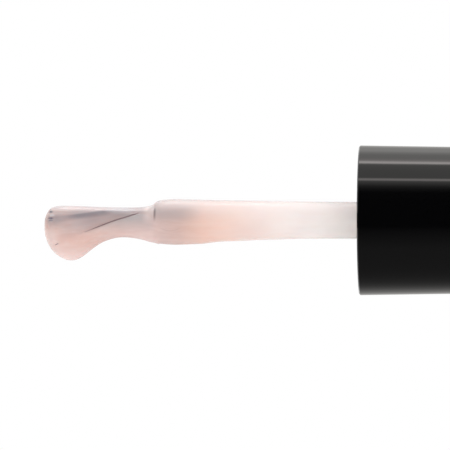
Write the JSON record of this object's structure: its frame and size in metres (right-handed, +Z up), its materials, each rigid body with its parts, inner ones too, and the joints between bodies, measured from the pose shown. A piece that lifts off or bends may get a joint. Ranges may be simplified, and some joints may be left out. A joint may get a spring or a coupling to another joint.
{
  "type": "lip gloss tube",
  "caption": "Slim clear gloss tube with wiper and screw neck; glossy black screw cap carries a translucent wand with a short brush loaded with pale pink gloss.",
  "frame": {"origin": "centre of the tube's base", "axes": "+Z up the common axis of tube, cap and wand; +X towards the heavy side of the drop on the bristles"},
  "size_m": [0.016, 0.016, 0.1292],
  "materials": {
    "tube_clear": "clear, polished",
    "wiper_plastic": "natural translucent",
    "gloss": "thick translucent gel",
    "gloss_wet": "wet translucent gel",
    "label_paper": "blank, coated",
    "washer_foam": "closed-cell foam",
    "weight_steel": "turned, zinc plated",
    "cap_black": "high gloss",
    "cap_inner_black": "satin",
    "stem_plastic": "milky translucent",
    "anchor_wire": "drawn wire",
    "bristle_fibre": "fine filaments"
  },
  "bodies": {
    "tube": {"tube_body": "tube_clear", "wiper": "wiper_plastic", "gloss_fill": "gloss", "base_label": "label_paper"},
    "seal": {"seal_washer": "washer_foam"},
    "weight": {"cap_weight": "weight_steel"},
    "cap": {"outer_cap": "cap_black", "inner_cap": "cap_inner_black", "stem": "stem_plastic", "bristle_anchor": "anchor_wire", "gloss_coat": "gloss_wet"},
    "brush": {"bristles": "bristle_fibre", "gloss_load": "gloss_wet"}
  },
  "joints": [
    {"name": "wand_draw", "type": "slide", "parent": "tube", "child": "seal", "axis": [0, 0, 1], "range_m": [-0.049, 0], "deforming": ["gloss_fill", "gloss_coat", "gloss_load", "bristles"]},
    {"name": "thread_travel", "type": "slide", "parent": "seal", "child": "weight", "axis": [0, 0, 1], "range_m": [-0.0039, 0]},
    {"name": "cap_turn", "type": "hinge", "parent": "weight", "child": "cap", "pos_m": [0, 0, 0.0932], "axis": [0, 0, 1], "range_deg": [-540, 0]},
    {"name": "brush_flex", "type": "hinge", "parent": "cap", "child": "brush", "pos_m": [0, 0, 0.0713], "axis": [1, 0, 0], "range_deg": [-20, 20], "stiffness_Nm_per_rad": 0.0005, "deforming": ["bristles", "gloss_load"]}
  ],
  "couplings": [
    {"joint": "thread_travel", "follows": "cap_turn", "m_per_rad": 0.0004138}
  ]
}
